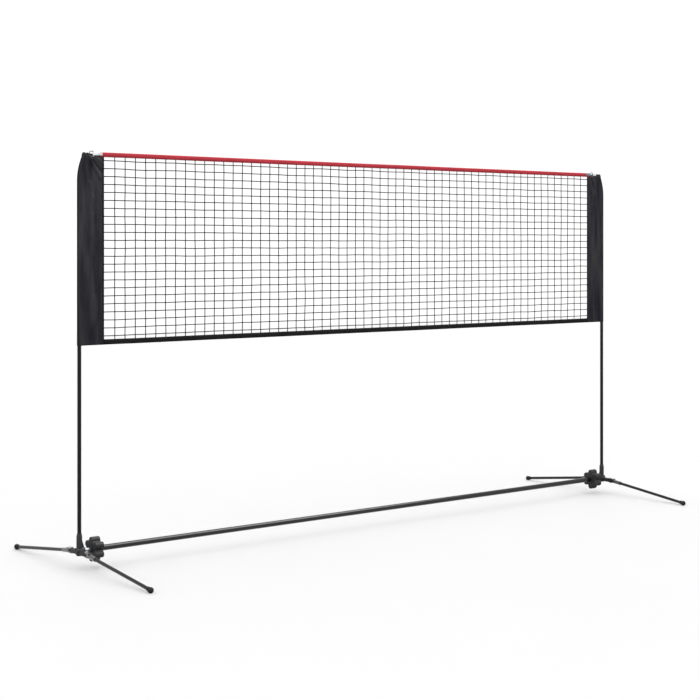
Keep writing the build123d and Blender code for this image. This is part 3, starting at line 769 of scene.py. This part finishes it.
def sleeve_cloth(side):
    """The sleeve's cloth: a tube round the post, seamed into a flat doubled band."""
    points, faces, slots = [], [], []
    for i, z in enumerate(spread(SLEEVE_BOTTOM, SLEEVE_TOP, SLEEVE_LEVELS)):
        stations = sleeve_stations(z)
        row = [across(side, post_inset(z) - POCKET_R, 0, z)]
        row += [sleeve_point(side, s, z, -1) for s in stations]
        row.append(sleeve_point(side, SLEEVE_INSET, z, 0))
        row += [sleeve_point(side, s, z, 1) for s in reversed(stations)]
        points += row
        if i:
            count, last = len(row), len(stations)
            # The strip is the eight faces between the band's end at the front and at the rear; the faces
            # by the outer edge take its dark cloth as painted shade.
            binding_and_edge_shade = {*range(last - 3, last + 5), *range(EDGE_SHADE_FACES), *range(count - EDGE_SHADE_FACES, count)}
            first = (i - 1) * count
            for k in range(count):
                a, b = first + k, first + (k + 1) % count
                face = (a, b, b + count, a + count)
                faces.append(face if side == "left" else face[::-1])
                slots.append(int(k in binding_and_edge_shade))
    cloth = Mesh()
    cloth.add(points, faces, slots)
    piece = cloth.make(side + "_net_sleeve", [FABRIC, SEAM_AND_EDGE_SHADE])
    solid = piece.modifiers.new("ply", "SOLIDIFY")
    solid.thickness = CLOTH
    solid.offset = -1
    apply_modifiers(piece)
    hang(piece, side + "_sleeve", slot="sleeve_fabric")
    return piece


def sleeve_stitches(side):
    """Rows of stitches on both faces: along the binding, the pocket's seam and the two hems."""
    sewing = Mesh()

    def sew(place, length):
        """One row, where place gives the inset and height at a run along it."""
        run = SLEEVE_PITCH / 2
        while run < length - SLEEVE_PITCH:
            for face in (-1, 1):
                start = sleeve_point(side, *place(run), face)
                end = sleeve_point(side, *place(run + SLEEVE_STITCH), face)
                sewing.stitch(start, end, Vector((0, face, 0)), SLEEVE_THREAD)
            run += SLEEVE_PITCH

    def upright(inset):
        return lambda run: (inset, SLEEVE_BOTTOM + run)

    def beside_seam(run):
        return seam_inset(SLEEVE_BOTTOM + run) + SEAM_ROW, SLEEVE_BOTTOM + run

    def level(z):
        return lambda run: (seam_inset(z) + run, z)

    height = SLEEVE_TOP - SLEEVE_BOTTOM
    for row in BINDING_ROWS:
        sew(upright(SLEEVE_INSET - row), height)
    sew(beside_seam, height)
    for z in (SLEEVE_BOTTOM + HEM - HEM_ROW, SLEEVE_TOP - HEM + HEM_ROW):
        sew(level(z), SLEEVE_INSET - seam_inset(z))
    piece = sewing.make(side + "_sleeve_stitches", [BLACK_THREAD])
    hang(piece, slot="sleeve_fabric")
    return piece


def sleeve(side):
    """Side sleeve of the net, sewn."""
    cloth = sleeve_cloth(side)
    stitches = sleeve_stitches(side)


# ------------------------------------------------------------------ straps and loops at the corners
STRAP_THICK = 1.2 * MM
STRAP_STITCH = 2.6 * MM      # pitch of the box stitching
STRAP_THREAD = 0.3 * MM      # the thread's radius
BOX_ENDS = (17 * MM, 2.5 * MM)               # the box stitching's ends, from the strap's end
BOX_EDGE = 2 * MM            # and its sides, from the strap's edges


def ribbon(mesh, path, low, high, thick):
    """A strap that stands on edge, along a path of (x, y) places, with rounded edges."""
    count = len(path)
    lower = ((-0.5, 0.12), (-0.32, 0.0), (0.32, 0.0), (0.5, 0.12))
    profile = lower + tuple((share, 1.0 - up) for share, up in reversed(lower))
    n = len(profile)
    points, faces = [], []
    for i, (x, y) in enumerate(path):
        ax, ay = path[max(i - 1, 0)]
        bx, by = path[min(i + 1, count - 1)]
        ahead = Vector((bx - ax, by - ay, 0)).normalized()
        out = Vector((ahead.y, -ahead.x, 0))
        for across_share, up_share in profile:
            z = low + (high - low) * up_share
            points.append(Vector((x, y, z)) + out * thick * across_share)
        if i:
            for k in range(n):
                a, b = (i - 1) * n + k, (i - 1) * n + (k + 1) % n
                faces.append((a, b, b + n, a + n))
    faces.append(tuple(range(n))[::-1])
    faces.append(tuple(range((count - 1) * n, count * n)))
    mesh.add(points, faces)


def corner_strap(side):
    """Webbing folded through the ring and box-stitched over the red tape's end."""
    node = side + "_corner_strap"
    low, high = corners(node)
    lane = high.y - STRAP_THICK / 2
    insets = sorted(POST_X - abs(x) for x in (low.x, high.x))
    fold, end = insets[0] + high.y, insets[1]
    way = -1 if side == "left" else 1

    def x_at(inset):
        return way * (POST_X - inset)

    path = [(x_at(s), -lane) for s in spread(end, fold, 16)]
    for k in range(1, 12):
        angle = math.pi * k / 12
        path.append((x_at(fold - lane * math.sin(angle)), -lane * math.cos(angle)))
    path += [(x_at(s), lane) for s in spread(fold, end, 16)]
    webbing = Mesh()
    ribbon(webbing, path, low.z, high.z, STRAP_THICK)
    strap = webbing.make(side + "_webbing", [WEBBING[side]])
    hang(strap, node, slot="strap_webbing")

    sewing = Mesh()
    start, stop = (end - inward for inward in BOX_ENDS)
    bottom, top = low.z + BOX_EDGE, high.z - BOX_EDGE
    box = [(start, bottom), (stop, bottom), (stop, top), (start, top)]
    lines = [(box[k], box[(k + 1) % 4]) for k in range(4)]
    lines += [(box[0], box[2]), (box[1], box[3])]
    for (s0, z0), (s1, z1) in lines:
        steps = max(2, round(math.hypot(s1 - s0, z1 - z0) / STRAP_STITCH))
        for k in range(steps):
            for face in (-1, 1):
                places = []
                for share in ((k + 0.1) / steps, (k + 0.8) / steps):
                    inset, z = s0 + (s1 - s0) * share, z0 + (z1 - z0) * share
                    places.append(Vector((x_at(inset), face * high.y, z)))
                sewing.stitch(*places, Vector((0, face, 0)), STRAP_THREAD)
    stitches = sewing.make(side + "_webbing_stitches", [BLACK_THREAD])
    hang(stitches, slot="strap_webbing")


def corner_loop(side):
    """Short closed cord from the cap's lug to the ring."""
    node = side + "_corner_loop"
    low, high = corners(node)
    radius = (high.z - low.z) / 2
    z = (high.z + low.z) / 2
    bow = high.y - radius
    path = []
    for x, begin in ((low.x + radius + bow, 0.5), (high.x - radius - bow, 1.5)):
        for k in range(13):
            angle = math.pi * (begin + k / 12)
            path.append(Vector((x + bow * math.cos(angle), bow * math.sin(angle), z)))
    path.append(path[0])
    cord = Mesh()
    cord.tube(path, radius, 12)
    piece = cord.make(side + "_tie_loop", [LOOP])
    hang(piece, node, slot="loop_cord")


WRAP_CORD = 1.2 * MM         # the cord's radius
WRAP_TURNS = 5
WRAP_STEPS = 24              # points in a turn
WRAP_DROP = 1 * MM           # how far below the sleeve's top it starts


def cap_wrap(side):
    """The tie cord's turns round the post's cap, square to the leaning post."""
    cap_low, cap_high = corners(side + "_post_cap")
    cap_r = (cap_high.y - cap_low.y) / 2
    way = 1 if side == "left" else -1
    up = Vector((way * math.sin(BEND_ANGLE), 0, math.cos(BEND_ANGLE)))
    level = Vector((way * math.cos(BEND_ANGLE), 0, -math.sin(BEND_ANGLE)))
    foot_z = SLEEVE_TOP - WRAP_DROP
    foot = across(side, post_inset(foot_z), 0, foot_z)
    reach = cap_r + WRAP_CORD * 0.9
    path = []
    for k in range(WRAP_TURNS * WRAP_STEPS + 1):
        angle = 2 * math.pi * k / WRAP_STEPS
        out = level * math.cos(angle) + Vector((0, math.sin(angle), 0))
        path.append(foot + up * (2 * WRAP_CORD * k / WRAP_STEPS) + out * reach)
    cord = Mesh()
    cord.tube(path, WRAP_CORD, 8)
    hang(cord.make(side + "_cap_wrap", [LOOP]), slot="loop_cord")


def spring_clips(node, button):
    """Both clips of a CAD node, each copied out as a piece of its own and named after its button."""
    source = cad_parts[node].data
    for side in SIDES:
        way = -1 if side == "left" else 1
        faces = [tuple(face.vertices) for face in source.polygons if face.center.x * way > 0]
        used = sorted({k for face in faces for k in face})
        place = {k: i for i, k in enumerate(used)}
        clip = Mesh()
        clip.add([source.vertices[k].co for k in used], [[place[k] for k in face] for face in faces])
        piece = clip.make(f"{side}_{button}_spring", [ZINC], smooth=False)
        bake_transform(piece)
        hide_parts(node)


# ------------------------------------------------------------------ floor, light and camera
FLOOR_REACH = 14.0
FLOOR_TONES = ((0.94, 0.94, 0.94), (0.955, 0.955, 0.955))
ROOM_LIGHT = 1.07
CAMERA_PLACE = (-4.2917, -5.1081, 1.2056)
CAMERA_TURN = math.radians(39.076)


def area_light(name, place, aim, size, power, apart):
    """A soft light on everything except the objects in the collection apart."""
    data = bpy.data.lights.new(name, "AREA")
    data.shape = "RECTANGLE"
    data.size, data.size_y = size
    data.energy = power
    light = bpy.data.objects.new(name, data)
    light.location = place
    light.rotation_euler = (Vector(aim) - Vector(place)).to_track_quat("-Z", "Y").to_euler()
    light.light_linking.receiver_collection = apart
    bpy.context.scene.collection.objects.link(light)


def studio():
    """Pale floor, white surroundings and broad soft lights."""
    plane = Mesh()
    edges = [(-1, -1), (1, -1), (1, 1), (-1, 1)]
    plane.add([(x * FLOOR_REACH, y * FLOOR_REACH, 0) for x, y in edges], [(0, 1, 2, 3)])
    floor_finish = Finish("floor_paint", 0.6, specular=0.2)
    tone = floor_finish.noise(0.8, 2.0)
    floor_finish.color(floor_finish.ramp(tone, ((0.3, FLOOR_TONES[0]), (0.7, FLOOR_TONES[1]))))
    floor = plane.make("studio_floor", [floor_finish.material], smooth=False)
    unlit = bpy.data.collections.new("lit_by_the_room_alone")
    unlit.objects.link(floor)
    unlit.collection_objects[0].light_linking.link_state = "EXCLUDE"

    world = bpy.data.worlds.new("studio")
    world.use_nodes = True
    background = world.node_tree.nodes["Background"]
    background.inputs["Color"].default_value = (1.0, 1.0, 1.0, 1.0)
    background.inputs["Strength"].default_value = ROOM_LIGHT
    bpy.context.scene.world = world
    bpy.context.scene.view_settings.view_transform = "Standard"

    area_light("overhead", (0.0, -1.4, 3.4), (0.0, -1.4, 0.0), (6.5, 3.8), 460.0, unlit)
    area_light("side", (-6.2, -2.2, 3.4), (-0.4, 0.0, 1.1), (1.6, 1.6), 140.0, unlit)


def photo_camera():
    """Level camera in front and to the left, with the frame moved down to take in the feet."""
    data = bpy.data.cameras.new("photo_camera")
    data.sensor_width = 36.0
    data.lens = 79.75
    data.shift_y = -0.1496
    camera = bpy.data.objects.new("photo_camera", data)
    camera.location = CAMERA_PLACE
    camera.rotation_euler = (math.radians(90), 0, -CAMERA_TURN)
    bpy.context.scene.collection.objects.link(camera)
    bpy.context.scene.camera = camera


photo_camera()
studio()
finish_cad_nodes()
net_mesh()
folded_tape("red_top_tape", "top_tape", True, RED, RED_THREAD, "red_tape", 1.0)
folded_tape("black_bottom_tape", "bottom_tape", False, BLACK, BLACK_THREAD, "black_tape", 6.0)
edge_ropes()
for one_side in SIDES:
    sleeve(one_side)
    corner_strap(one_side)
    corner_loop(one_side)
    cap_wrap(one_side)

spring_clips("height_button_springs", "height_button")
spring_clips("bar_button_springs", "bar_button")

bpy.context.view_layer.update()
